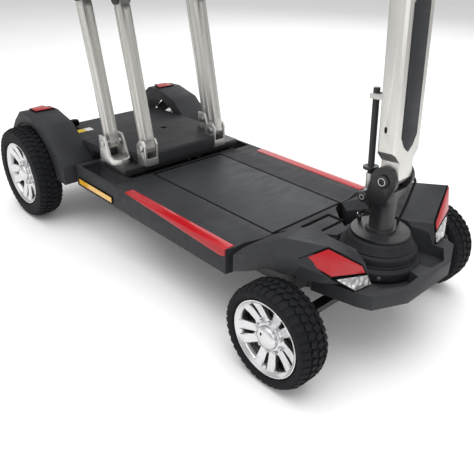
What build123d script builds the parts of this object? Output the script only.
from build123d import *
import os
from math import cos, radians, sin

os.makedirs("parts", exist_ok=True)

# ---- driving dimensions, mm; +X forward, +Y left, +Z up, floor at z = 0 ----
wheel_base = 836
nose_reach = 130  # nose tip ahead of the front axle
rear_wheel_r = 112
front_wheel_r = 90
tyre_width = 60
rear_track = 483  # between the middles of the rear tyres
front_track = 454
rear_rim_r = 77
front_rim_r = 68
shaft_r = 9
stub_r = 8
running = 0.05  # radial running fit of shafts and pins
joint_gap = 0.4  # side gap between moving faces

deck_half = 203
deck_top = 170
deck_bottom = 120
shell = 4  # wall of the moulded covers
cover_half = 97
cover_length = 365
cover_gap = 1.0
rail_y = 118
rail_width = 25
rail_bottom = 100
rail_height = 30
pan = 3

seat_link_length = 305
seat_link_lean = 12  # degrees, leaning rearwards
link_depth = 28
link_width = 22
rear_link_y = 143
front_link_y = 99
rear_pivot_reach = 241  # ahead of the rear axle
front_pivot_reach = 316
rear_pivot_z = 232
front_pivot_z = 229
pivot_r = 5
bracket_floor = 190
bracket_wall = 4
platform_reach = 331  # front edge of the rear platform, ahead of the rear axle
platform_top = 218

stem_offset = 24  # steering axis ahead of the front axle
stem_r = 21
stem_shaft_r = 12
boot_r = 75
boot_top = 204
hinge_offset = 8  # tiller hinge ahead of the steering axis
hinge_z = 306
hinge_r = 23
slot_floor = 17  # bottom of the column's fork, below the hinge
hinge_pin_r = 8
boss_half = 28
mast_lean = 4  # degrees, leaning rearwards
mast_rear = -12  # rear face, from the hinge along the fore direction
mast_front = 21
mast_half = 36
foot_half = 19
mast_length = 300
mast_wall = 3
head_height = 575  # tiller head above the hinge, along the mast
kingpin_y = 185
kingpin_r = 8
steer_arm = 40
steer_limit = 30  # degrees each way
steer_z = 80

seat_length = 390
seat_half = 205
seat_thickness = 70
back_height = 250
back_thickness = 55
back_hinge_rise = 72  # backrest hinge above the seat cushion

# ---- places worked out from the driving dimensions ----
overall_length = rear_wheel_r + wheel_base + nose_reach
rear_x = rear_wheel_r - overall_length / 2
front_x = rear_x + wheel_base
stem_x = front_x + stem_offset
hinge_x = stem_x + hinge_offset
platform_front = rear_x + platform_reach
nose_x = front_x + nose_reach
cowl_x = front_x - 131  # joint between deck and front cowl, near the middle
rear_pivot_x = rear_x + rear_pivot_reach
front_pivot_x = rear_x + front_pivot_reach
link_run = -seat_link_length * sin(radians(seat_link_lean))
link_rise = seat_link_length * cos(radians(seat_link_lean))
seat_plate_z = front_pivot_z + link_rise + 19
mast_up = Vector(-sin(radians(mast_lean)), 0, cos(radians(mast_lean)))
mast_fore = Vector(cos(radians(mast_lean)), 0, sin(radians(mast_lean)))
mast = Plane(origin=(hinge_x, 0, hinge_z), x_dir=mast_fore, z_dir=mast_up)
mast_side = Plane(origin=(hinge_x, 0, hinge_z), x_dir=mast_fore, z_dir=(0, -1, 0))


def both_sides(points):
    """A closed outline from its points on the +Y side."""
    return points + [(x, -y) for x, y in reversed(points)]


def side_view(y):
    """The XZ plane at y; extruding from it goes towards -Y."""
    return Plane.XZ.offset(-y)


def mast_side_at(y):
    """The mast's side plane at y; extruding from it goes towards -Y."""
    return mast_side.offset(-y)


# ---- chassis: welded rails, belly pan, cross members and steering head ----
rail_front = front_x - 46
rail_rear = rear_x + 25
tube_r = 17
seat_beam_rear = rear_pivot_x - 8
seat_beam_front = front_pivot_x + 4
seat_beam_half = rear_link_y + 22
with BuildPart() as chassis_frame:
    with BuildSketch(Plane.XY.offset(rail_bottom)):
        with Locations(((rail_rear + rail_front) / 2, rail_y), ((rail_rear + rail_front) / 2, -rail_y)):
            Rectangle(rail_front - rail_rear, rail_width)
    extrude(amount=rail_height)
    with BuildSketch(Plane.XY.offset(rear_wheel_r - 26)):
        with Locations((rear_x + 1, rail_y), (rear_x + 1, -rail_y)):
            Rectangle(52, rail_width)
    extrude(amount=52)
    with BuildSketch(Plane.XY.offset(rail_bottom - pan)):
        with BuildLine():
            Polyline(
                *both_sides([
                    (rear_x + 140, rail_y + 8),
                    (cowl_x + 60, rail_y + 8),
                    (front_x - 20, 70),
                    (stem_x + 38, 36),
                ]),
                close=True,
            )
        make_face()
    extrude(amount=pan)
    with BuildSketch(Plane.XY.offset(rail_bottom)):
        with Locations((rear_x + 152, 0), (rail_front - 10, 0)):
            Rectangle(20, 2 * rail_y)
    extrude(amount=rail_height)
    with BuildSketch(Plane.XY.offset(rail_bottom)):
        with BuildLine():
            Polyline(*both_sides([(rail_front - 10, 70), (stem_x + 2, 42), (stem_x + 34, 30)]), close=True)
        make_face()
    extrude(amount=rail_height)
    with BuildSketch(Plane.XY.offset(rail_bottom)):
        with Locations((seat_beam_front - 40, rail_y - 5), (seat_beam_front - 40, 5 - rail_y)):
            Rectangle(40, 30)
    extrude(amount=bracket_floor - rail_bottom)
    with BuildSketch(Plane.XY.offset(deck_top + 6)):
        with Locations(((seat_beam_rear + seat_beam_front) / 2, 0)):
            Rectangle(seat_beam_front - seat_beam_rear, 2 * seat_beam_half)
    extrude(amount=bracket_floor - deck_top - 6)
    with BuildSketch(Plane.XY.offset(rail_bottom - pan)):
        with Locations((stem_x, 0)):
            Circle(30)
    extrude(amount=60)
    with BuildSketch(Plane.XY.offset(rail_bottom - pan)):
        with Locations((stem_x, 0)):
            Circle(stem_shaft_r + running)
    extrude(amount=80, mode=Mode.SUBTRACT)
    with BuildSketch(side_view(200)):
        with Locations((rear_x, rear_wheel_r)):
            Circle(tube_r + 0.2)
    extrude(amount=400, mode=Mode.SUBTRACT)
chassis_frame.part.label = "chassis_frame"
export_step(chassis_frame.part, "parts/chassis_frame.step")

# ---- front axle beam, hung under the rails, with a boss for each kingpin ----
beam_bottom = front_wheel_r - 4
beam_height = rail_bottom - pan - beam_bottom
boss_height = 34
with BuildPart() as front_axle_beam:
    with BuildSketch(Plane.XY.offset(beam_bottom)):
        with Locations((front_x, 0)):
            Rectangle(20, 2 * kingpin_y)
    extrude(amount=beam_height)
    with BuildSketch(Plane.XY.offset(front_wheel_r - boss_height / 2)):
        with Locations((front_x, kingpin_y), (front_x, -kingpin_y)):
            Circle(14)
    extrude(amount=boss_height)
    with BuildSketch(Plane.XY.offset(front_wheel_r - boss_height / 2)):
        with Locations((front_x, kingpin_y), (front_x, -kingpin_y)):
            Circle(kingpin_r + running)
    extrude(amount=boss_height, mode=Mode.SUBTRACT)
front_axle_beam.part.label = "front_axle_beam"
export_step(front_axle_beam.part, "parts/front_axle_beam.step")

# ---- knuckles: kingpin, fork, stub axle and steering arm, one each side ----
fork_z = boss_height / 2 + joint_gap
wheel_hub_half = 20
for side, name in ((1, "left"), (-1, "right")):
    with BuildPart() as knuckle:
        with BuildSketch(Plane.XY.offset(front_wheel_r - fork_z - 8)):
            with Locations((front_x, side * kingpin_y)):
                Circle(kingpin_r)
        extrude(amount=2 * (fork_z + 8))
        for level in (front_wheel_r - fork_z - 8, front_wheel_r + fork_z):
            with BuildSketch(Plane.XY.offset(level)):
                with Locations((front_x, side * kingpin_y)):
                    Circle(13)
                with Locations((front_x, side * (kingpin_y + 10))):
                    Rectangle(22, 20)
            extrude(amount=8)
        with BuildSketch(Plane.XY.offset(front_wheel_r - fork_z - 8)):
            with Locations((front_x, side * (kingpin_y + 18))):
                Rectangle(26, 6)
        extrude(amount=2 * (fork_z + 8))
        with BuildSketch(side_view(side * (kingpin_y + 20))):
            with Locations((front_x, front_wheel_r)):
                Circle(stub_r)
        extrude(amount=-side * (front_track / 2 + wheel_hub_half - kingpin_y - 20))
        with BuildSketch(Plane.XY.offset(front_wheel_r - fork_z - 8)):
            with Locations((front_x - steer_arm / 2, side * kingpin_y)):
                Rectangle(steer_arm, 12)
            with Locations((front_x - steer_arm, side * kingpin_y)):
                Circle(8)
        extrude(amount=8)
        with BuildSketch(Plane.XY.offset(steer_z - 12)):
            with Locations((front_x - steer_arm, side * kingpin_y)):
                Circle(4)
        extrude(amount=12)
    knuckle.part.label = "knuckle_" + name
    export_step(knuckle.part, "parts/knuckle_" + name + ".step")

# ---- tie rod: one bar that the pitman arm pushes, an eye at each end ----
rod_top = front_wheel_r - fork_z - 8 - joint_gap
rod_thickness = 8
eye_places = [(front_x - steer_arm, kingpin_y), (stem_x - steer_arm, 0), (front_x - steer_arm, -kingpin_y)]
with BuildPart() as tie_rod:
    with BuildSketch(Plane.XY.offset(rod_top - rod_thickness)):
        with BuildLine():
            Polyline(
                (front_x - steer_arm - 5, kingpin_y),
                (stem_x - steer_arm - 7, 0),
                (front_x - steer_arm - 5, -kingpin_y),
                (front_x - steer_arm + 5, -kingpin_y),
                (stem_x - steer_arm + 7, 0),
                (front_x - steer_arm + 5, kingpin_y),
                close=True,
            )
        make_face()
        with Locations(*eye_places):
            Circle(10)
        with Locations(*eye_places):
            Circle(4.3, mode=Mode.SUBTRACT)
    extrude(amount=rod_thickness)
tie_rod.part.label = "tie_rod"
export_step(tie_rod.part, "parts/tie_rod.step")

# ---- wheels: tyre, spoked rim and hub cap, all four made by one function ----
window_inner = 0.44  # spoke windows, as shares of the rim's inner radius
window_outer = 0.93
bead_half = tyre_width / 2 - 7


def make_wheel(name, x, radius, rim_r, track, side, bore_r):
    """Writes the tyre, rim and hub cap of one wheel whose axis is along Y."""
    middle = Vector(x, side * track / 2, radius)
    section = Plane(origin=middle, x_dir=(1, 0, 0), z_dir=(0, 0, side))
    outer_face = Plane(origin=middle, x_dir=(1, 0, 0), z_dir=(0, side, 0))
    axle = Axis(middle, (0, side, 0))
    seat_r = rim_r - 4
    barrel_r = seat_r - 5
    with BuildPart() as tyre:
        with BuildSketch(section):
            with BuildLine():
                Polyline(
                    (seat_r + 0.2, bead_half),
                    (rim_r + 0.4, bead_half),
                    (rim_r + 5, tyre_width / 2),
                    (radius - 9, tyre_width / 2),
                    (radius - 1.5, tyre_width / 2 - 8),
                    (radius, tyre_width / 2 - 20),
                    (radius, 20 - tyre_width / 2),
                    (radius - 1.5, 8 - tyre_width / 2),
                    (radius - 9, -tyre_width / 2),
                    (rim_r + 5, -tyre_width / 2),
                    (rim_r + 0.4, -bead_half),
                    (seat_r + 0.2, -bead_half),
                    close=True,
                )
            make_face()
        revolve(axis=axle)
    tyre.part.label = name + "_tyre_" + side_names[side]
    export_step(tyre.part, "parts/" + name + "_tyre_" + side_names[side] + ".step")
    with BuildPart() as rim:
        with BuildSketch(section):
            with Locations(((barrel_r + seat_r) / 2, 0)):
                Rectangle(seat_r - barrel_r, 2 * bead_half)
            with Locations(*[((barrel_r + rim_r) / 2, y) for y in (bead_half + 1.9, -bead_half - 1.9)]):
                Rectangle(rim_r - barrel_r, 3)
            with Locations((barrel_r / 2 + 3, 17)):
                Rectangle(barrel_r, 8)
            with Locations((10 + bore_r / 2, 2)):
                Rectangle(20 - bore_r, 36)
            with Locations(((barrel_r + seat_r) / 2, 0)):
                Rectangle(seat_r - barrel_r, 2 * bead_half + 2)
        revolve(axis=axle)
        with BuildSketch(outer_face.offset(5)):
            with PolarLocations(0, 5, start_angle=90):
                Polygon(
                    (window_inner * barrel_r, 4),
                    (window_outer * barrel_r, 0.25 * barrel_r),
                    (window_outer * barrel_r, -0.25 * barrel_r),
                    (window_inner * barrel_r, -4),
                    align=None,
                )
            with PolarLocations(0, 5, start_angle=126):
                Polygon(
                    (window_inner * barrel_r, 1.5),
                    (window_outer * barrel_r, 5),
                    (window_outer * barrel_r, -5),
                    (window_inner * barrel_r, -1.5),
                    align=None,
                )
        extrude(amount=30, mode=Mode.SUBTRACT)
        with BuildSketch(outer_face.offset(-40)):
            Circle(bore_r)
        extrude(amount=100, mode=Mode.SUBTRACT)
        with BuildSketch(outer_face.offset(21)):
            Circle(17)
        extrude(amount=20, mode=Mode.SUBTRACT)
    rim.part.label = name + "_rim_" + side_names[side]
    export_step(rim.part, "parts/" + name + "_rim_" + side_names[side] + ".step")
    with BuildPart() as cap:
        with BuildSketch(outer_face.offset(21.3)):
            Circle(16.5)
        extrude(amount=6)
        fillet(cap.edges().sort_by(lambda edge: side * edge.center().Y)[-1:], radius=4)
    cap.part.label = name + "_hub_cap_" + side_names[side]
    export_step(cap.part, "parts/" + name + "_hub_cap_" + side_names[side] + ".step")


side_names = {1: "left", -1: "right"}
for side in (1, -1):
    make_wheel("front", front_x, front_wheel_r, front_rim_r, front_track, side, stub_r + running)
    make_wheel("rear", rear_x, rear_wheel_r, rear_rim_r, rear_track, side, shaft_r + running)

# ---- rear drive: gearbox, motor and axle tubes, with a half shaft each side ----
tube_end = rear_track / 2 - 40
with BuildPart() as transaxle:
    with BuildSketch(side_view(38)):
        with Locations((rear_x, rear_wheel_r)):
            Circle(40)
        with Locations((rear_x + 62, rear_wheel_r + 10)):
            Rectangle(70, 46)
    extrude(amount=76)
    with BuildSketch(side_view(95)):
        with Locations((rear_x + 72, rear_wheel_r + 12)):
            Circle(34)
    extrude(amount=140)
    with BuildSketch(side_view(tube_end)):
        with Locations((rear_x, rear_wheel_r)):
            Circle(tube_r)
    extrude(amount=2 * tube_end)
    with BuildSketch(side_view(tube_end)):
        with Locations((rear_x, rear_wheel_r)):
            Circle(shaft_r + running)
    extrude(amount=2 * tube_end, mode=Mode.SUBTRACT)
transaxle.part.label = "transaxle"
export_step(transaxle.part, "parts/transaxle.step")
shaft_inner = 12
for side in (1, -1):
    with BuildPart() as rear_axle:
        with BuildSketch(side_view(side * shaft_inner)):
            with Locations((rear_x, rear_wheel_r)):
                Circle(shaft_r)
        extrude(amount=-side * (rear_track / 2 + 20 - shaft_inner))
    rear_axle.part.label = "rear_axle_" + side_names[side]
    export_step(rear_axle.part, "parts/rear_axle_" + side_names[side] + ".step")

# ---- front deck: a moulded tray upside down, open below, with the battery bay in it ----
deck_rear = rear_x + 170
bay_front = platform_front + 4 + cover_length
pocket_half_inner = 150
pocket_half_outer = deck_half - 6
tongue_half = 41  # the deck runs forward in a tongue to the steering boot
tongue_x = cowl_x + 41
tongue_tip = stem_x - boot_r - 0.6
deck_outline = [
    (platform_front - 9, rail_y + 27),
    (deck_rear, rail_y + 27),
    (deck_rear, deck_half),
    (cowl_x - 15, deck_half),
    (cowl_x - 11, deck_half - 18),
    (cowl_x - 12, deck_half - 41),
    (cowl_x - 2, 123),
    (cowl_x - 2, 91),
    (cowl_x + 6, 72),
    (tongue_x, tongue_half),
    (tongue_tip, 15),
]
strip_rear = rear_x + 371
strip_front = cowl_x - 16
strip_width = 22
strip_outline = [
    (strip_rear, deck_top + 1),
    (strip_rear + 17, deck_top - 2),
    (strip_front - 14, deck_top - 18),
    (strip_front, deck_top - 14),
    (strip_front, deck_top + 1),
]
latch_x = cowl_x + 33
latch_length = 28
latch_half = 35
latch_gap = 2
latch_thickness = 3
with BuildPart() as front_deck:
    with BuildSketch(Plane.XY.offset(deck_bottom)):
        with BuildLine():
            Polyline(*both_sides(deck_outline), close=True)
        make_face()
    extrude(amount=deck_top - deck_bottom)
    with BuildSketch(Plane.XY.offset(deck_bottom)):
        with BuildLine():
            Polyline(*both_sides(deck_outline), close=True)
        make_face()
        offset(amount=-shell, kind=Kind.INTERSECTION)
    extrude(amount=deck_top - deck_bottom - shell, mode=Mode.SUBTRACT)
    with BuildSketch(Plane.XY.offset(deck_bottom)):
        with Locations(((deck_rear + rail_front) / 2, 0)):
            Rectangle(rail_front - deck_rear + 60, 2 * (rail_y + 14))
    extrude(amount=rail_bottom + rail_height + 1 - deck_bottom, mode=Mode.SUBTRACT)
    with BuildSketch(Plane.XY.offset(deck_bottom)):
        with Locations(((platform_front + 4 + bay_front) / 2, 0)):
            Rectangle(cover_length - 14, 2 * (cover_half - 7))
    extrude(amount=deck_top - deck_bottom, mode=Mode.SUBTRACT)
    with BuildSketch(Plane.XY.offset(deck_top - 5)):
        with Locations(((platform_front + 4 + bay_front) / 2, 0)):
            Rectangle(cover_length + 2 * cover_gap, 2 * (cover_half + cover_gap))
    extrude(amount=5, mode=Mode.SUBTRACT)
    with BuildSketch(Plane.XY.offset(deck_top - 25)):
        with Locations(((deck_rear + 15 + platform_front) / 2, (pocket_half_inner + pocket_half_outer) / 2)):
            Rectangle(platform_front - deck_rear - 15, pocket_half_outer - pocket_half_inner)
    extrude(amount=25, mode=Mode.SUBTRACT)
    with BuildSketch(Plane.XY.offset(deck_top - 25)):
        with Locations(((deck_rear + 15 + platform_front) / 2, -(pocket_half_inner + pocket_half_outer) / 2)):
            Rectangle(platform_front - deck_rear - 15, pocket_half_outer - pocket_half_inner)
    extrude(amount=25, mode=Mode.SUBTRACT)
    with BuildSketch(Plane.XY.offset(deck_top - 3.5)):
        with Locations((latch_x, 0)):
            Rectangle(latch_length + 2 * latch_gap, 2 * (latch_half + latch_gap))
    extrude(amount=3.5, mode=Mode.SUBTRACT)
    for strip_y in (deck_half + 2, strip_width - deck_half):
        with BuildSketch(side_view(strip_y)):
            with BuildLine():
                Polyline(*strip_outline, close=True)
            make_face()
        extrude(amount=strip_width + 2, mode=Mode.SUBTRACT)
front_deck.part.label = "front_deck"
export_step(front_deck.part, "parts/front_deck.step")

with BuildPart() as side_strips:
    for strip_y in (deck_half + 1, strip_width - 0.4 - deck_half):
        with BuildSketch(side_view(strip_y)):
            with BuildLine():
                Polyline(*strip_outline, close=True)
            make_face()
            offset(amount=-0.3, kind=Kind.INTERSECTION)
        extrude(amount=strip_width + 0.6)
side_strips.part.label = "side_strips"
export_step(side_strips.part, "parts/side_strips.step")

reflector_length = 144
reflector_height = 18
with BuildPart() as side_reflectors:
    for reflector_y in (deck_half + 2.1, -deck_half - 0.1):
        with BuildSketch(side_view(reflector_y)):
            with Locations((rear_x + 253, deck_top - 36)):
                RectangleRounded(reflector_length, reflector_height, 3)
        extrude(amount=2)
side_reflectors.part.label = "side_reflectors"
export_step(side_reflectors.part, "parts/side_reflectors.step")

# ---- battery cover with its finger latch, the battery and the controller under it ----
cover_thickness = 4.5
with BuildPart() as battery_cover:
    with BuildSketch(Plane.XY.offset(deck_top - cover_thickness)):
        with Locations(((platform_front + 4 + bay_front) / 2, 0)):
            Rectangle(cover_length, 2 * cover_half)
    extrude(amount=cover_thickness)
    fillet(battery_cover.edges().filter_by(Axis.Y).group_by(Axis.X)[0], radius=cover_thickness / 2 - 0.001)
    with BuildSketch(Plane.XY.offset(deck_top - 10)):
        with Locations(*[(platform_front + 4 + cover_length / 2, y) for y in (60, -60)]):
            Rectangle(cover_length - 40, 3)
    extrude(amount=6)
battery_cover.part.label = "battery_cover"
export_step(battery_cover.part, "parts/battery_cover.step")

with BuildPart() as cover_latch:
    with BuildSketch(Plane.XY.offset(deck_top - latch_thickness)):
        with Locations((latch_x, 0)):
            Rectangle(latch_length, 2 * latch_half)
    extrude(amount=latch_thickness)
    fillet(cover_latch.edges().filter_by(Axis.Y).group_by(Axis.X)[0], radius=latch_thickness / 2 - 0.001)
cover_latch.part.label = "cover_latch"
export_step(cover_latch.part, "parts/cover_latch.step")

battery_size = (300, 170, 56)
controller_x = rear_x + 215
with BuildPart() as battery_pack:
    with BuildSketch(Plane.XY.offset(rail_bottom + 1)):
        with Locations((platform_front + 4 + cover_length / 2, 0)):
            RectangleRounded(battery_size[0], battery_size[1], 8)
    extrude(amount=battery_size[2])
    fillet(battery_pack.edges().group_by(Axis.Z)[-1], radius=4)
battery_pack.part.label = "battery_pack"
export_step(battery_pack.part, "parts/battery_pack.step")

with BuildPart() as controller:
    with BuildSketch(Plane.XY.offset(rail_bottom + 1)):
        with Locations((controller_x, 0)):
            Rectangle(90, 140)
    extrude(amount=40)
    with BuildSketch(Plane.XY.offset(rail_bottom + 41)):
        with GridLocations(0, 14, 1, 9):
            with Locations((controller_x, 0)):
                Rectangle(90, 4)
    extrude(amount=8)
controller.part.label = "controller"
export_step(controller.part, "parts/controller.step")

# ---- rear platform over the motor, and the fenders beside it ----
platform_half = 150
box_bracket_inner = front_link_y - link_width / 2 - 2 - bracket_wall
box_bracket_outer = front_link_y + link_width / 2 + 2 + bracket_wall
round_bracket_half = 24.5
platform_side = [
    (platform_front, bracket_floor + 1),
    (platform_front, platform_top - 3),
    (platform_front - 4, platform_top),
    (rear_x + 250, platform_top - 10),
    (rear_x + 110, platform_top - 12),
    (rear_x - 20, platform_top - 16),
    (rear_x - 67, platform_top - 32),
    (rear_x - 95, platform_top - 60),
    (rear_x - 95, 140),
    (rear_x - 60, 120),
    (rear_x + 150, deck_top - 8),
    (rear_x + 165, bracket_floor + 1),
]
bracket_clear = 1.5
freewheel_x = rear_x + 26
freewheel_y = -120
with BuildPart() as rear_deck:
    with BuildSketch(side_view(platform_half)):
        with BuildLine():
            Polyline(*platform_side, close=True)
        make_face()
    extrude(amount=2 * platform_half)
    with BuildSketch(side_view(platform_half - shell)):
        with BuildLine():
            Polyline(
                (rear_x + 150, 100),
                (rear_x + 150, bracket_floor + 7),
                (rear_x - 20, bracket_floor + 3),
                (rear_x - 62, platform_top - 37),
                (rear_x - 90, platform_top - 64),
                (rear_x - 90, 100),
                close=True,
            )
        make_face()
    extrude(amount=2 * (platform_half - shell), mode=Mode.SUBTRACT)
    for side in (1, -1):
        with BuildSketch(Plane.XY.offset(100)):
            with Locations((platform_front, side * (box_bracket_inner - bracket_clear + 50))):
                Rectangle(2 * (platform_front - front_pivot_x + 21), 100)
            with Locations((rear_pivot_x + 30, side * (rear_link_y - round_bracket_half - bracket_clear + 50))):
                Rectangle(100, 100)
        extrude(amount=200, mode=Mode.SUBTRACT)
    with BuildSketch(Plane.XY.offset(platform_top - 30)):
        with Locations((rear_x + 170, 50)):
            Rectangle(14, 14)
    extrude(amount=40, mode=Mode.SUBTRACT)
    with BuildSketch(Plane.XY.offset(platform_top - 40)):
        with Locations((freewheel_x + 7, freewheel_y)):
            Rectangle(32, 12)
    extrude(amount=40, mode=Mode.SUBTRACT)
    with BuildSketch(side_view(platform_half + 1)):
        with Locations((rear_x, rear_wheel_r)):
            Circle(tube_r + joint_gap)
    extrude(amount=2 * platform_half + 2, mode=Mode.SUBTRACT)
rear_deck.part.label = "rear_deck"
export_step(rear_deck.part, "parts/rear_deck.step")

fender_inner = platform_half + 0.5
fender_outer = rear_track / 2 - 11
arch_gap = 7
fender_side = [
    (rear_x + 160, deck_top - 48),
    (rear_x + 160, deck_top - 4),
    (rear_x + 150, deck_top + 8),
    (rear_x + 78, platform_top + 22),
    (rear_x + 7, platform_top + 38),
    (rear_x - 37, platform_top + 36),
    (rear_x - 72, platform_top + 8),
    (rear_x - 108, platform_top - 32),
    (rear_x - 104, platform_top - 62),
    (rear_x - 70, 130),
]
with BuildPart() as rear_fenders:
    with BuildSketch(side_view(fender_outer)):
        with BuildLine():
            Polyline(*fender_side, close=True)
        make_face()
    extrude(amount=fender_outer - fender_inner)
    with BuildSketch(side_view(fender_outer - shell)):
        with Locations((rear_x, rear_wheel_r)):
            Circle(rear_wheel_r + arch_gap)
    extrude(amount=fender_outer - fender_inner, mode=Mode.SUBTRACT)
    with BuildSketch(side_view(fender_outer)):
        with Locations((rear_x, rear_wheel_r)):
            Circle(rear_wheel_r + arch_gap)
    extrude(amount=fender_outer - rear_track / 2 + tyre_width / 2 + 6, mode=Mode.SUBTRACT)
    mirror(about=Plane.XZ)
rear_fenders.part.label = "rear_fenders"
export_step(rear_fenders.part, "parts/rear_fenders.step")

tail_top = platform_top + 38
with BuildPart() as tail_panels:
    with BuildSketch(Plane.XY.offset(tail_top + 0.6)):
        with BuildLine():
            Polyline(
                (rear_x + 6, fender_inner + 5),
                (rear_x + 6, fender_outer - 22),
                (rear_x - 30, fender_outer - 22),
                (rear_x - 36, fender_inner + 20),
                close=True,
            )
        make_face()
    extrude(amount=2)
    mirror(about=Plane.XZ)
tail_panels.part.label = "tail_panels"
export_step(tail_panels.part, "parts/tail_panels.step")

# ---- seat brackets: a square clevis in front and a rounded one behind, each side ----
with BuildPart() as box_brackets:
    with BuildSketch(side_view(box_bracket_outer)):
        with BuildLine():
            Polyline(
                (platform_front, bracket_floor),
                (platform_front, front_pivot_z + 8),
                (front_pivot_x + 8, front_pivot_z + 18),
                (front_pivot_x - 6, front_pivot_z + 18),
                (front_pivot_x - 18, front_pivot_z + 6),
                (front_pivot_x - 20, bracket_floor),
                close=True,
            )
        make_face()
    extrude(amount=box_bracket_outer - box_bracket_inner)
    with BuildSketch(side_view(box_bracket_outer - bracket_wall)):
        with BuildLine():
            Polyline(
                (platform_front - bracket_wall, bracket_floor + 16),
                (platform_front + 9, bracket_floor + 16),
                (platform_front + 9, 300),
                (front_pivot_x - 30, 300),
                (front_pivot_x - 30, bracket_floor + bracket_wall),
                (platform_front - bracket_wall, bracket_floor + bracket_wall),
                close=True,
            )
        make_face()
    extrude(amount=box_bracket_outer - box_bracket_inner - 2 * bracket_wall, mode=Mode.SUBTRACT)
    with BuildSketch(side_view(box_bracket_outer)):
        with Locations((front_pivot_x, front_pivot_z)):
            Circle(pivot_r + running)
    extrude(amount=box_bracket_outer - box_bracket_inner, mode=Mode.SUBTRACT)
    mirror(about=Plane.XZ)
box_brackets.part.label = "box_brackets"
export_step(box_brackets.part, "parts/box_brackets.step")

nose_run = 49
ear_back = 14
with BuildPart() as round_brackets:
    with BuildSketch(Plane.XY.offset(bracket_floor)):
        with Locations((rear_pivot_x + (nose_run - round_bracket_half - ear_back) / 2, rear_link_y)):
            Rectangle(nose_run - round_bracket_half + ear_back, 2 * round_bracket_half)
        with Locations((rear_pivot_x + nose_run - round_bracket_half, rear_link_y)):
            Circle(round_bracket_half)
    extrude(amount=58)
    with BuildSketch(Plane.XY.offset(bracket_floor + bracket_wall)):
        with Locations((rear_pivot_x + (nose_run - round_bracket_half - ear_back) / 2, rear_link_y)):
            Rectangle(nose_run - round_bracket_half + ear_back + 2, 2 * (round_bracket_half - bracket_wall - 1))
        with Locations((rear_pivot_x + nose_run - round_bracket_half, rear_link_y)):
            Circle(round_bracket_half - bracket_wall - 1)
    extrude(amount=60, mode=Mode.SUBTRACT)
    with BuildSketch(side_view(rear_link_y + 30)):
        with BuildLine():
            Polyline(
                (rear_pivot_x + 7, bracket_floor + 60),
                (rear_pivot_x + 17, bracket_floor + 40),
                (rear_pivot_x + 24, bracket_floor + 20),
                (rear_pivot_x + 34, bracket_floor + 13),
                (rear_pivot_x + 60, bracket_floor + 13),
                (rear_pivot_x + 60, bracket_floor + 60),
                close=True,
            )
        make_face()
    extrude(amount=60, mode=Mode.SUBTRACT)
    with BuildSketch(side_view(rear_link_y + 30)):
        with Locations((rear_pivot_x, rear_pivot_z)):
            Circle(pivot_r + running)
    extrude(amount=60, mode=Mode.SUBTRACT)
    mirror(about=Plane.XZ)
round_brackets.part.label = "round_brackets"
export_step(round_brackets.part, "parts/round_brackets.step")

pin_head = 4
with BuildPart() as lower_pivot_pins:
    for x, z, middle, half in (
        (front_pivot_x, front_pivot_z, front_link_y, (box_bracket_outer - box_bracket_inner) / 2),
        (rear_pivot_x, rear_pivot_z, rear_link_y, round_bracket_half),
    ):
        with BuildSketch(side_view(middle + half + 0.2)):
            with Locations((x, z)):
                Circle(pivot_r)
        extrude(amount=2 * half + 0.4)
        for end in (middle + half + 0.2 + pin_head, middle - half - 0.2):
            with BuildSketch(side_view(end)):
                with Locations((x, z)):
                    Circle(8)
            extrude(amount=pin_head)
    mirror(about=Plane.XZ)
lower_pivot_pins.part.label = "lower_pivot_pins"
export_step(lower_pivot_pins.part, "parts/lower_pivot_pins.step")

# ---- seat linkage: grooved links, a parallelogram that keeps the seat level ----
link_end_r = 13
groove_width = 8
groove_depth = 3


def make_links(name, pivot_x, pivot_z, link_y):
    """Writes one pair of links, each leaning from its lower pivot to its upper one."""
    lean = radians(seat_link_lean)
    up = (-sin(lean), 0, cos(lean))
    side_face = Plane(
        origin=(pivot_x, link_y + link_width / 2, pivot_z),
        x_dir=(cos(lean), 0, sin(lean)),
        z_dir=(0, -1, 0),
    )
    section = Plane(origin=(pivot_x, link_y, pivot_z), x_dir=(cos(lean), 0, sin(lean)), z_dir=up)
    with BuildPart() as links:
        with BuildSketch(side_face):
            with Locations((0, seat_link_length / 2)):
                SlotOverall(seat_link_length + 2 * link_end_r, 2 * link_end_r, rotation=90)
            with Locations((0, seat_link_length / 2)):
                Rectangle(link_depth, seat_link_length - 30)
        extrude(amount=link_width)
        with BuildSketch(section.offset(24)):
            with Locations((link_depth / 2, 0), (-link_depth / 2, 0)):
                Rectangle(2 * groove_depth, groove_width)
            with Locations((0, link_width / 2), (0, -link_width / 2)):
                Rectangle(groove_width, groove_depth)
        extrude(amount=seat_link_length - 48, mode=Mode.SUBTRACT)
        with BuildSketch(side_face):
            with Locations((0, 0), (0, seat_link_length)):
                Circle(pivot_r + running)
        extrude(amount=link_width, mode=Mode.SUBTRACT)
        mirror(about=Plane.XZ)
    links.part.label = name
    export_step(links.part, "parts/" + name + ".step")


make_links("front_links", front_pivot_x, front_pivot_z, front_link_y)
make_links("rear_links", rear_pivot_x, rear_pivot_z, rear_link_y)

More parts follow.
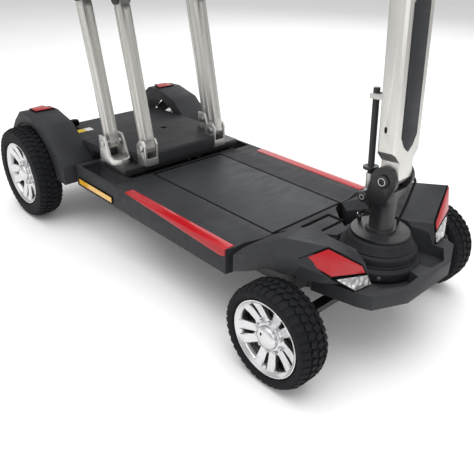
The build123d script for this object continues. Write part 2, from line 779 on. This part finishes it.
# ---- seat: base plate with lugs and pins, cushion, folding backrest ----
front_top_x = front_pivot_x + link_run
rear_top_x = rear_pivot_x + link_run
seat_rear_x = rear_top_x - 158
seat_middle_x = seat_rear_x + seat_length / 2
plate_thickness = 5
lug_wall = 5
lug_drop = 12
cushion_z = seat_plate_z + plate_thickness + 0.4
back_hinge_x = seat_rear_x + 20
back_hinge_z = cushion_z + seat_thickness + back_hinge_rise
back_pin_r = 6
with BuildPart() as seat_frame:
    with BuildSketch(Plane.XY.offset(seat_plate_z)):
        with Locations((seat_middle_x, 0)):
            RectangleRounded(seat_length - 40, 2 * seat_half - 60, 25)
    extrude(amount=plate_thickness)
    for x, z, link_y in (
        (front_top_x, front_pivot_z + link_rise, front_link_y),
        (rear_top_x, rear_pivot_z + link_rise, rear_link_y),
    ):
        for inner in (link_y + link_width / 2 + joint_gap + lug_wall, link_y - link_width / 2 - joint_gap):
            with BuildSketch(side_view(inner)):
                with Locations((x, z)):
                    Circle(lug_drop)
                with Locations((x, (z + seat_plate_z) / 2)):
                    Rectangle(2 * lug_drop, seat_plate_z - z)
            extrude(amount=lug_wall)
            mirror(about=Plane.XZ)
        with BuildSketch(side_view(link_y + link_width / 2 + 1)):
            with Locations((x, z)):
                Circle(pivot_r)
        extrude(amount=link_width + 2)
        mirror(about=Plane.XZ)
    for hinge_y in (130, -112):
        with BuildSketch(side_view(hinge_y)):
            with Locations((back_hinge_x, back_hinge_z)):
                Circle(10)
            with Locations((back_hinge_x, (seat_plate_z + back_hinge_z) / 2)):
                Rectangle(20, back_hinge_z - seat_plate_z)
        extrude(amount=18)
    with BuildSketch(side_view(140)):
        with Locations((back_hinge_x, back_hinge_z)):
            Circle(back_pin_r + running)
    extrude(amount=280, mode=Mode.SUBTRACT)
seat_frame.part.label = "seat_frame"
export_step(seat_frame.part, "parts/seat_frame.step")

cushion_rear = seat_rear_x + 42
with BuildPart() as seat_cushion:
    with BuildSketch(Plane.XY.offset(cushion_z)):
        with Locations(((cushion_rear + seat_rear_x + seat_length) / 2, 0)):
            RectangleRounded(seat_rear_x + seat_length - cushion_rear, 2 * seat_half, 40)
    extrude(amount=seat_thickness)
    fillet(seat_cushion.edges().group_by(Axis.Z)[-1], radius=22)
seat_cushion.part.label = "seat_cushion"
export_step(seat_cushion.part, "parts/seat_cushion.step")

back_bottom = back_hinge_z + 11
with BuildPart() as backrest_frame:
    with BuildSketch(side_view(111.5)):
        with Locations((back_hinge_x, back_hinge_z)):
            Circle(10)
        with Locations((back_hinge_x - 2, (back_hinge_z + back_bottom + back_height - 40) / 2)):
            Rectangle(16, back_bottom + back_height - 40 - back_hinge_z)
    extrude(amount=16)
    with BuildSketch(side_view(131)):
        with Locations((back_hinge_x, back_hinge_z)):
            Circle(back_pin_r)
    extrude(amount=36)
    mirror(about=Plane.XZ)
    with BuildSketch(Plane.YZ.offset(back_hinge_x - 10)):
        with Locations((0, back_bottom + back_height / 2)):
            RectangleRounded(2 * seat_half - 60, back_height - 30, 30)
    extrude(amount=6)
backrest_frame.part.label = "backrest_frame"
export_step(backrest_frame.part, "parts/backrest_frame.step")

with BuildPart() as backrest_cushion:
    with BuildSketch(Plane.YZ.offset(back_hinge_x + 10.8)):
        with Locations((0, back_bottom + back_height / 2)):
            RectangleRounded(2 * seat_half - 10, back_height, 45)
    extrude(amount=back_thickness)
    fillet(backrest_cushion.edges().group_by(Axis.X)[-1], radius=20)
backrest_cushion.part.label = "backrest_cushion"
export_step(backrest_cushion.part, "parts/backrest_cushion.step")

# ---- cowl trim: red corner panels and headlights on the horns' front facets ----
peak = Vector(front_x + 45, deck_half - 31, 247)
panel_rear = Vector(front_x + 14, deck_half - 13, 218)
inner_top = Vector(front_x + 66, 106, 202)
inner_low = Vector(front_x + 72.5, 102, 186)
outer_low = Vector(front_x + 55.5, deck_half - 31, 198)
lamp_inner = Vector(front_x + 81, 96, 165)
lamp_low = Vector(front_x + 79, 134, 166)


def facet_plate(corners, lift, thickness):
    """A flat plate on the plane of the first three corners, standing off it by lift."""
    first, second, third = corners[:3]
    facing = (second - first).cross(third - first).normalized()
    if facing.X < 0:
        facing = -facing
    plane = Plane(origin=first + facing * lift, x_dir=second - first, z_dir=facing)
    with BuildPart() as plate:
        with BuildSketch(plane):
            with BuildLine():
                flat = [plane.to_local_coords(corner) for corner in corners]
                Polyline(*[(point.X, point.Y) for point in flat], close=True)
            make_face()
            offset(amount=-0.6, kind=Kind.INTERSECTION)
        extrude(amount=thickness)
        mirror(about=Plane.XZ)
    return plate


front_panels = facet_plate([peak, inner_top, outer_low, panel_rear], -0.8, 2.8)
front_panels.part.label = "front_panels"
export_step(front_panels.part, "parts/front_panels.step")
lamp_drop = Vector(0, 0, 2)
headlights = facet_plate([outer_low - lamp_drop, inner_low - lamp_drop, lamp_inner, lamp_low], -6, 7.5)
headlights.part.label = "headlights"
export_step(headlights.part, "parts/headlights.step")

# ---- front cowl: nose bumper and two faceted horns round the steering boot ----
horn_sections = [
    (deck_half - 1, [(-128, 134), (-128, 168), (-46, 203), (14, 221), (20, 214), (2, 190), (-64, 166)]),
    (deck_half - 31, [(-132, 130), (-132, 170), (-41, 226), (45, 247), (55, 197), (34, 178), (-64, 158)]),
    (100, [(-131, 130), (-131, 170), (-41, 224), (66, 200), (73, 184), (82, 164), (40, 150)]),
    (76, [(-100, 132), (-100, 171), (-41, 200), (30, 200), (62, 176), (70, 160), (40, 145)]),
]
scoop_gap = 3  # hollow in the horns' undersides, round the turned tyres
nose_rim = 165
nose_bottom = 139
with BuildPart() as front_cowl:
    for lower, upper in zip(horn_sections[1:], horn_sections[:-1]):
        for reach, outline in (upper, lower):
            with BuildSketch(side_view(reach)):
                with BuildLine():
                    Polyline(*[(front_x + x, z) for x, z in outline], close=True)
                make_face()
        loft(ruled=True)
    for turn in (0.4 * steer_limit, 0.6 * steer_limit, 0.8 * steer_limit, steer_limit):
        outward = Vector(-sin(radians(turn)), cos(radians(turn)), 0)
        reach = (front_track - tyre_width) / 2 - kingpin_y - scoop_gap
        with BuildSketch(Plane(origin=Vector(front_x, kingpin_y, front_wheel_r) + outward * reach, z_dir=outward)):
            Circle(front_wheel_r + scoop_gap)
        extrude(amount=tyre_width + 2 * scoop_gap, mode=Mode.SUBTRACT)
    mirror(about=Plane.XZ)
    with BuildSketch(Plane.XY.offset(nose_bottom)):
        with BuildLine():
            Polyline(
                *both_sides([(stem_x - 94, 92), (stem_x - 20, 150), (front_x + 80, 133), (front_x + 103, 123), (nose_x, 63)]),
                close=True,
            )
        make_face()
    extrude(amount=nose_rim - nose_bottom)
    with BuildSketch(Plane.XY.offset(nose_bottom + 8)):
        with Locations((stem_x, 0)):
            Circle(boot_r + 1)
    extrude(amount=100, mode=Mode.SUBTRACT)
    with BuildSketch(Plane.XY.offset(nose_bottom - 30)):
        with Locations((stem_x, 0)):
            Circle(32)
    extrude(amount=60, mode=Mode.SUBTRACT)
    with BuildSketch(Plane.XY.offset(nose_bottom + 4)):
        with BuildLine():
            Polyline(
                (stem_x + 10, 72),
                (front_x + 66, 92),
                (front_x + 98, 96),
                (nose_x - 10, 58),
                (nose_x - 12, 20),
                (stem_x + 60, 10),
                close=True,
            )
        make_face()
    extrude(amount=100, mode=Mode.SUBTRACT)
    with BuildSketch(Plane.XY.offset(nose_bottom + 4)):
        with BuildLine():
            Polyline(
                (stem_x + 10, -72),
                (front_x + 66, -92),
                (front_x + 98, -96),
                (nose_x - 10, -58),
                (nose_x - 12, -20),
                (stem_x + 60, -10),
                close=True,
            )
        make_face()
    extrude(amount=100, mode=Mode.SUBTRACT)
    with BuildSketch(Plane.XY.offset(deck_bottom - 30)):
        with BuildLine():
            Polyline(*both_sides(deck_outline), close=True)
        make_face()
        offset(amount=0.8, kind=Kind.INTERSECTION)
    extrude(amount=30 + deck_top - deck_bottom + 2, mode=Mode.SUBTRACT)
    with BuildSketch(Plane.XY.offset(rail_bottom - 10)):
        with Locations((stem_x - 120, 0)):
            Rectangle(200, 2 * (rail_y + 16))
    extrude(amount=rail_height + 12, mode=Mode.SUBTRACT)
    add(front_panels.part, mode=Mode.SUBTRACT)
    add(headlights.part, mode=Mode.SUBTRACT)
front_cowl.part.label = "front_cowl"
export_step(front_cowl.part, "parts/front_cowl.step")

# ---- steering boot: a stepped rubber cone round the steering head ----
boot_profile = [(boot_r, 148), (boot_r, 162), (66, 168), (66, 182), (54, 199), (50, boot_top)]
with BuildPart() as steering_boot:
    with BuildSketch(Plane.XZ):
        with BuildLine():
            Polyline(
                *[(stem_x + r, z) for r, z in boot_profile],
                (stem_x + stem_shaft_r + 3, boot_top),
                (stem_x + stem_shaft_r + 3, boot_top - 3),
                *[(stem_x + r - 3, z - 1.5) for r, z in reversed(boot_profile[1:-1])],
                (stem_x + boot_r - 3, 148),
                close=True,
            )
        make_face()
    revolve(axis=Axis((stem_x, 0, 0), (0, 0, 1)))
steering_boot.part.label = "steering_boot"
export_step(steering_boot.part, "parts/steering_boot.step")

# ---- steering column: shaft, pitman arm, rotating cap, tube and hinge boss ----
cap_z = boot_top + 0.6
cap_thickness = 4
strut_pin_r = 5
strut_offset = -43  # strut axis, from the tiller hinge along the mast's fore direction
strut_drop = 40
strut_foot = mast.from_local_coords((strut_offset, 0, -strut_drop))
strut_foot_x = strut_foot.X
strut_foot_z = strut_foot.Z
with BuildPart() as steering_column:
    with BuildSketch(Plane.XY.offset(steer_z - 12)):
        with Locations((stem_x, 0)):
            Circle(stem_shaft_r)
    extrude(amount=cap_z - steer_z + 12)
    with BuildSketch(Plane.XY.offset(steer_z - 12)):
        with Locations((stem_x, 0)):
            Circle(18)
        with Locations((stem_x - steer_arm / 2, 0)):
            Rectangle(steer_arm, 14)
        with Locations((stem_x - steer_arm, 0)):
            Circle(9)
    extrude(amount=beam_bottom - steer_z + 12 - 8)
    with BuildSketch(Plane.XY.offset(rod_top - rod_thickness)):
        with Locations((stem_x - steer_arm, 0)):
            Circle(4)
    extrude(amount=steer_z - 12 - rod_top + rod_thickness)
    with BuildSketch(Plane.XY.offset(cap_z)):
        with Locations((stem_x, 0)):
            Circle(50)
    extrude(amount=cap_thickness)
    with BuildSketch(Plane.XY.offset(cap_z)):
        with Locations((stem_x, 0)):
            Circle(stem_r + 5)
    extrude(amount=cap_thickness + 6)
    with BuildSketch(Plane.XY.offset(cap_z)):
        with Locations((stem_x, 0)):
            Circle(stem_r)
    extrude(amount=hinge_z - slot_floor - cap_z)
    with BuildSketch(side_view(boss_half)):
        with BuildLine():
            Polyline(
                (hinge_x - hinge_r, hinge_z),
                (stem_x - stem_r, hinge_z - 30),
                (stem_x - stem_r + 3, hinge_z - 42),
                (stem_x + stem_r - 3, hinge_z - 42),
                (stem_x + stem_r, hinge_z - 30),
                (hinge_x + hinge_r, hinge_z),
                close=True,
            )
        make_face()
        with Locations((hinge_x, hinge_z)):
            Circle(hinge_r)
    extrude(amount=2 * boss_half)
    with BuildSketch(side_view(foot_half + joint_gap)):
        with Locations((hinge_x, hinge_z + hinge_r - slot_floor)):
            Rectangle(100, 2 * hinge_r)
    extrude(amount=2 * (foot_half + joint_gap), mode=Mode.SUBTRACT)
    with BuildSketch(side_view(13)):
        with BuildLine():
            Polyline(
                (stem_x - stem_r + 4, strut_foot_z + 14),
                (strut_foot_x - 3, strut_foot_z + 8),
                (strut_foot_x - 8, strut_foot_z),
                (strut_foot_x - 3, strut_foot_z - 8),
                (stem_x - stem_r + 4, strut_foot_z - 20),
                close=True,
            )
        make_face()
    extrude(amount=26)
    with BuildSketch(side_view(7.6)):
        with Locations((strut_foot_x, strut_foot_z)):
            Circle(15.5)
    extrude(amount=15.2, mode=Mode.SUBTRACT)
    with BuildSketch(side_view(40)):
        with Locations((strut_foot_x, strut_foot_z)):
            Circle(strut_pin_r + running)
        with Locations((hinge_x, hinge_z)):
            Circle(hinge_pin_r + running)
    extrude(amount=80, mode=Mode.SUBTRACT)
steering_column.part.label = "steering_column"
export_step(steering_column.part, "parts/steering_column.step")

with BuildPart() as hinge_pin:
    with BuildSketch(side_view(boss_half + joint_gap)):
        with Locations((hinge_x, hinge_z)):
            Circle(hinge_pin_r)
    extrude(amount=2 * (boss_half + joint_gap))
    for end in (boss_half + joint_gap + 3, -boss_half - joint_gap):
        with BuildSketch(side_view(end)):
            with Locations((hinge_x, hinge_z)):
                Circle(11)
            with Locations((hinge_x, hinge_z)):
                RegularPolygon(5, 6, mode=Mode.SUBTRACT)
        extrude(amount=3)
hinge_pin.part.label = "hinge_pin"
export_step(hinge_pin.part, "parts/hinge_pin.step")

# ---- lock strut: pinned behind the column, standing against the back of the mast ----
sleeve_r = 7
strut_rod_r = 5.5
sleeve_top = 38
strut_length = 178
strut_plane = Plane(origin=strut_foot, x_dir=mast_fore, z_dir=mast_up)
with BuildPart() as lock_sleeve:
    with BuildSketch(side_view(7)):
        with Locations((strut_foot_x, strut_foot_z)):
            Circle(10)
    extrude(amount=14)
    with BuildSketch(strut_plane.offset(13)):
        Circle(sleeve_r)
    extrude(amount=sleeve_top - 13)
    with BuildSketch(strut_plane.offset(6)):
        Rectangle(14, 12)
    extrude(amount=8)
    with BuildSketch(side_view(20)):
        with Locations((strut_foot_x, strut_foot_z)):
            Circle(strut_pin_r)
    extrude(amount=40)
    for end in (20, -13.5):
        with BuildSketch(side_view(end)):
            with Locations((strut_foot_x, strut_foot_z)):
                Circle(9)
        extrude(amount=6.5)
lock_sleeve.part.label = "lock_sleeve"
export_step(lock_sleeve.part, "parts/lock_sleeve.step")

with BuildPart() as lock_rod:
    with BuildSketch(strut_plane.offset(sleeve_top + 0.2)):
        Circle(strut_rod_r)
    extrude(amount=strut_length - sleeve_top)
    with BuildSketch(strut_plane.offset(sleeve_top + 7)):
        Circle(13)
    extrude(amount=5)
lock_rod.part.label = "lock_rod"
export_step(lock_rod.part, "parts/lock_rod.step")

# ---- control cables, on the column: a hose into the cap and a loop beside the boss ----
cable_r = 3.5
loop_r = 2.5


def cable_path(points, radii):
    """The tube's centre line: straight runs joined by tangent arcs."""
    with BuildLine() as path:
        FilletPolyline(*points, radius=radii)
    return path


hose_points = [
    (stem_x - stem_r - 1.2, 0, 228),
    (stem_x - 36, 0, 231),
    (stem_x - 45, 0, 222),
    (stem_x - 44, 0, cap_z + cap_thickness + 0.5),
]
loop_points = [
    (stem_x + 8, 40, cap_z + cap_thickness + 1),
    (stem_x + 14, 50, 248),
    (stem_x + 20, 54, 288),
    (stem_x + 8, 48, 306),
    (stem_x + 3, 41, 283),
    (stem_x + 1, stem_r + 2.6, 252),
]
with BuildPart() as control_cables:
    for points, radii, radius in ((hose_points, [5, 5], cable_r), (loop_points, [40, 10, 6, 12], loop_r)):
        route = cable_path(points, radii)
        with BuildSketch(Plane(origin=route.line @ 0, z_dir=route.line % 0)):
            Circle(radius)
        sweep(path=route.line)
control_cables.part.label = "control_cables"
export_step(control_cables.part, "parts/control_cables.step")

# ---- mast: a flat outer tube that narrows to a tongue in the column's fork, and the upper tube in it ----
mast_start = 50
narrow_end = 32
bore_start = 70
mast_middle = (mast_rear + mast_front) / 2
mast_depth = mast_front - mast_rear
upper_depth = mast_depth - 2 * mast_wall - 1
upper_width = 2 * (mast_half - mast_wall) - 2
slot_height = 85
keeper_height = 122  # fork on the mast's rear face that takes the lock strut
mast_back = Plane(origin=mast.from_local_coords((mast_rear, 0, 0)), x_dir=(0, 1, 0), z_dir=mast_fore)
mast_face = Plane(origin=mast.from_local_coords((mast_front, 0, 0)), x_dir=(0, 1, 0), z_dir=mast_fore)
with BuildPart() as mast_yoke:
    with BuildSketch(mast_back):
        with BuildLine():
            Polyline(
                (mast_half, mast_length),
                (mast_half, mast_start),
                (foot_half, narrow_end),
                (-foot_half, narrow_end),
                (-mast_half, mast_start),
                (-mast_half, mast_length),
                close=True,
            )
        make_face()
    extrude(amount=mast_depth)
    with BuildSketch(mast.offset(narrow_end - 1)) as mast_section:
        with Locations((mast_middle, 0)):
            Rectangle(mast_depth, 2 * mast_half)
        chamfer(mast_section.vertices(), length=4)
    extrude(amount=mast_length, mode=Mode.INTERSECT)
    with BuildSketch(mast_side_at(foot_half)):
        with BuildLine():
            Polyline(
                (mast_rear, narrow_end + 2),
                (mast_rear, 3),
                (-8, -11),
                (8, -12),
                (mast_front, 3),
                (mast_front, narrow_end + 2),
                close=True,
            )
        make_face()
    extrude(amount=2 * foot_half)
    with BuildSketch(mast.offset(bore_start)):
        with Locations((mast_middle, 0)):
            Rectangle(upper_depth + 1, upper_width + 1)
    extrude(amount=mast_length, mode=Mode.SUBTRACT)
    with BuildSketch(mast_side_at(mast_half + 1)):
        with Locations((2, slot_height)):
            SlotOverall(10, 5, rotation=90)
    extrude(amount=2 * mast_half + 2, mode=Mode.SUBTRACT)
    with BuildSketch(mast.offset(keeper_height)):
        with Locations((mast_rear - 18, 8.5), (mast_rear - 18, -8.5)):
            Rectangle(36, 5)
        with Locations((mast_rear - 6, 0)):
            Rectangle(12, 22)
    extrude(amount=8)
    with BuildSketch(side_view(60)):
        with Locations((hinge_x, hinge_z)):
            Circle(hinge_pin_r + running)
    extrude(amount=120, mode=Mode.SUBTRACT)
mast_yoke.part.label = "mast_yoke"
export_step(mast_yoke.part, "parts/mast_yoke.step")

inlay_points = [
    (20.5, 72),
    (11, 56),
    (0, 47),
    (-11, 56),
    (-20.5, 72),
    (-20.5, 262),
    (-11, 274),
    (11, 274),
    (20.5, 262),
]
with BuildPart() as mast_inlay:
    with BuildSketch(mast_face.offset(0.2)):
        with BuildLine():
            Polyline(*inlay_points, close=True)
        make_face()
    extrude(amount=1.3)
mast_inlay.part.label = "mast_inlay"
export_step(mast_inlay.part, "parts/mast_inlay.step")

clamp_rim = 2
with BuildPart() as height_clamp:
    with BuildSketch(mast.offset(mast_length + 0.3)) as collar_section:
        with Locations((mast_middle, 0)):
            Rectangle(mast_depth + 2 * clamp_rim, 2 * (mast_half + clamp_rim))
        chamfer(collar_section.vertices(), length=5)
        with Locations((mast_middle, 0)):
            Rectangle(upper_depth + 1, upper_width + 1, mode=Mode.SUBTRACT)
    extrude(amount=28)
    with BuildSketch(mast_side_at(-mast_half - clamp_rim)):
        with Locations((0, mast_length + 14)):
            Circle(10)
        with Locations((20, mast_length + 14)):
            Rectangle(40, 12)
    extrude(amount=10)
height_clamp.part.label = "height_clamp"
export_step(height_clamp.part, "parts/height_clamp.step")

head_half = 28
upper_start = 190
with BuildPart() as upper_mast:
    with BuildSketch(mast.offset(upper_start)) as tube_section:
        with Locations((mast_middle, 0)):
            Rectangle(upper_depth, upper_width)
        chamfer(tube_section.vertices(), length=3)
        with Locations((mast_middle, 0)):
            Rectangle(upper_depth - 6, upper_width - 6, mode=Mode.SUBTRACT)
    extrude(amount=head_height - head_half - 0.2 - upper_start)
upper_mast.part.label = "upper_mast"
export_step(upper_mast.part, "parts/upper_mast.step")

# ---- tiller head with handlebar, grips and controls ----
bar_r = 11
head_depth = 110
head_width = 150
button_r = 8
dial_r = 13
button_place = (-36, 0)
dial_place = (-22, 42)
key_place = (-22, -42)
grip_length = 88
grip_bend = 130
grip_end = (-60, 230)
with BuildPart() as tiller_head:
    with BuildSketch(mast.offset(head_height - head_half)):
        RectangleRounded(head_depth, head_width, 24)
    extrude(amount=2 * head_half)
    with BuildSketch(mast_side_at(head_width)):
        with Locations((0, head_height)):
            Circle(bar_r + running)
    extrude(amount=2 * head_width, mode=Mode.SUBTRACT)
    with BuildSketch(mast.offset(head_height + head_half - 9)):
        with Locations(button_place):
            Circle(button_r + 0.4)
        with Locations(dial_place):
            Circle(4 + running)
        with Locations(key_place):
            Circle(7 + running)
    extrude(amount=10, mode=Mode.SUBTRACT)
tiller_head.part.label = "tiller_head"
export_step(tiller_head.part, "parts/tiller_head.step")

with BuildPart() as handlebar:
    with BuildLine(mast.offset(head_height)) as bar_line:
        FilletPolyline((grip_end[0], -grip_end[1]), (0, -grip_bend), (0, grip_bend), grip_end, radius=50)
    with BuildSketch(Plane(origin=bar_line.line @ 0, z_dir=bar_line.line % 0)):
        Circle(bar_r)
    sweep(path=bar_line.line)
handlebar.part.label = "handlebar"
export_step(handlebar.part, "parts/handlebar.step")

grip_run = Vector(grip_end[0], grip_end[1] - grip_bend).normalized()
with BuildPart() as grips:
    for side in (1, -1):
        tip = mast.from_local_coords((grip_end[0], side * grip_end[1], head_height))
        inward = mast.from_local_coords((-grip_run.X, -side * grip_run.Y, 0)) - mast.origin
        with BuildSketch(Plane(origin=tip - inward * 1.0, z_dir=inward)):
            Circle(16)
            Circle(bar_r + running, mode=Mode.SUBTRACT)
        extrude(amount=grip_length)
grips.part.label = "grips"
export_step(grips.part, "parts/grips.step")

with BuildPart() as throttle_lever:
    with BuildSketch(mast.offset(head_height - head_half - 9)):
        with Locations((-14, -58)):
            Circle(11)
        with BuildLine():
            Polyline((-4, -58), (-24, -50), (-66, -168), (-46, -176), close=True)
        make_face()
    extrude(amount=8.4)
throttle_lever.part.label = "throttle_lever"
export_step(throttle_lever.part, "parts/throttle_lever.step")

with BuildPart() as horn_button:
    with BuildSketch(mast.offset(head_height + head_half - 5)):
        with Locations(button_place):
            Circle(button_r)
    extrude(amount=8)
horn_button.part.label = "horn_button"
export_step(horn_button.part, "parts/horn_button.step")

with BuildPart() as speed_dial:
    with BuildSketch(mast.offset(head_height + head_half + 0.4)):
        with Locations(dial_place):
            Circle(dial_r)
    extrude(amount=9)
    with BuildSketch(mast.offset(head_height + head_half - 8)):
        with Locations(dial_place):
            Circle(4)
    extrude(amount=9)
speed_dial.part.label = "speed_dial"
export_step(speed_dial.part, "parts/speed_dial.step")

with BuildPart() as key:
    with BuildSketch(mast.offset(head_height + head_half - 8)):
        with Locations(key_place):
            Circle(7)
    extrude(amount=10)
    with BuildSketch(mast.offset(head_height + head_half + 2)):
        with Locations(key_place):
            Rectangle(18, 3)
    extrude(amount=20)
key.part.label = "key"
export_step(key.part, "parts/key.step")

# ---- freewheel lever on the right rear of the platform ----
freewheel_pivot_z = 185
with BuildPart() as freewheel_lever:
    with BuildSketch(Plane.XY.offset(freewheel_pivot_z - 6)):
        with Locations((freewheel_x, freewheel_y)):
            Circle(4)
    extrude(amount=34)
    with BuildSketch(side_view(freewheel_y + 8)):
        with Locations((freewheel_x, freewheel_pivot_z)):
            Circle(3)
    extrude(amount=16)
    with BuildSketch(Plane.XY.offset(platform_top - 6)):
        with Locations((freewheel_x, freewheel_y)):
            Circle(10)
    extrude(amount=13)
freewheel_lever.part.label = "freewheel_lever"
export_step(freewheel_lever.part, "parts/freewheel_lever.step")
